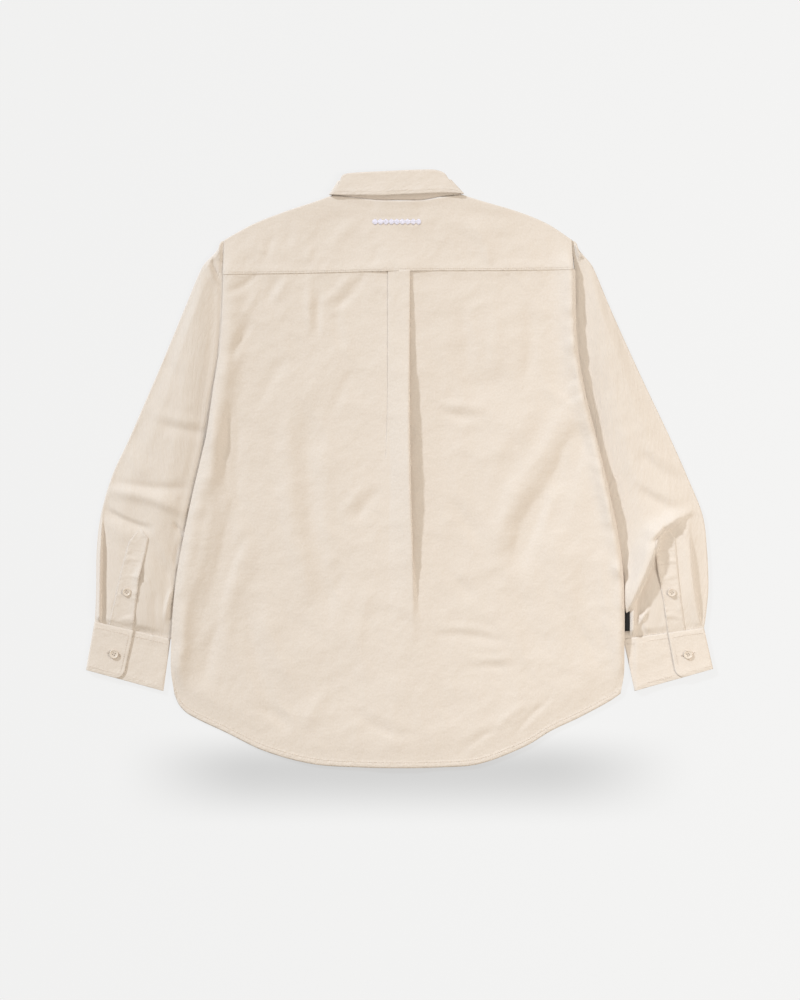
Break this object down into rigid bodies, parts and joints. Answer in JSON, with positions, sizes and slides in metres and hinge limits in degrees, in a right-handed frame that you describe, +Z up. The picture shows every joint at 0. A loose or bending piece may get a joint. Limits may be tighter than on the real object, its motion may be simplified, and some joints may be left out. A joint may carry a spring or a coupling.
{
  "type": "oxford shirt",
  "caption": "Oversized long-sleeved oxford shirt laid flat, back up, with a yoke, centre box pleat, turned-down collar, tower plackets and buttoned cuffs.",
  "frame": {"origin": "under the middle of the garment's outline, on the surface it lies on", "axes": "+X to the wearer's right across the sleeves, +Y from the hem to the collar, +Z up from the surface, out of the garment's back"},
  "size_m": [0.8478, 0.8083, 0.0147],
  "materials": {
    "cloth": "cream cotton oxford, matt with a soft basket weave",
    "button": "cream four-hole shirt button, satin",
    "tab": "black woven tape, plain"
  },
  "bodies": {
    "root": {"back": "cloth", "yoke": "cloth", "front_left": "cloth", "front_right": "cloth", "front_placket": "cloth", "collar_stand": "cloth", "collar_leaf": "cloth", "sleeve_left": "cloth", "sleeve_right": "cloth", "sleeve_placket_left": "cloth", "sleeve_placket_right": "cloth", "cuff_left": "cloth", "cuff_right": "cloth", "button_collar": "button", "button_front_1": "button", "button_front_2": "button", "button_front_3": "button", "button_front_4": "button", "button_front_5": "button", "button_front_6": "button", "button_front_7": "button", "button_sleeve_left": "button", "button_sleeve_right": "button", "button_cuff_left": "button", "button_cuff_right": "button", "side_tab": "tab"}
  },
  "joints": []
}
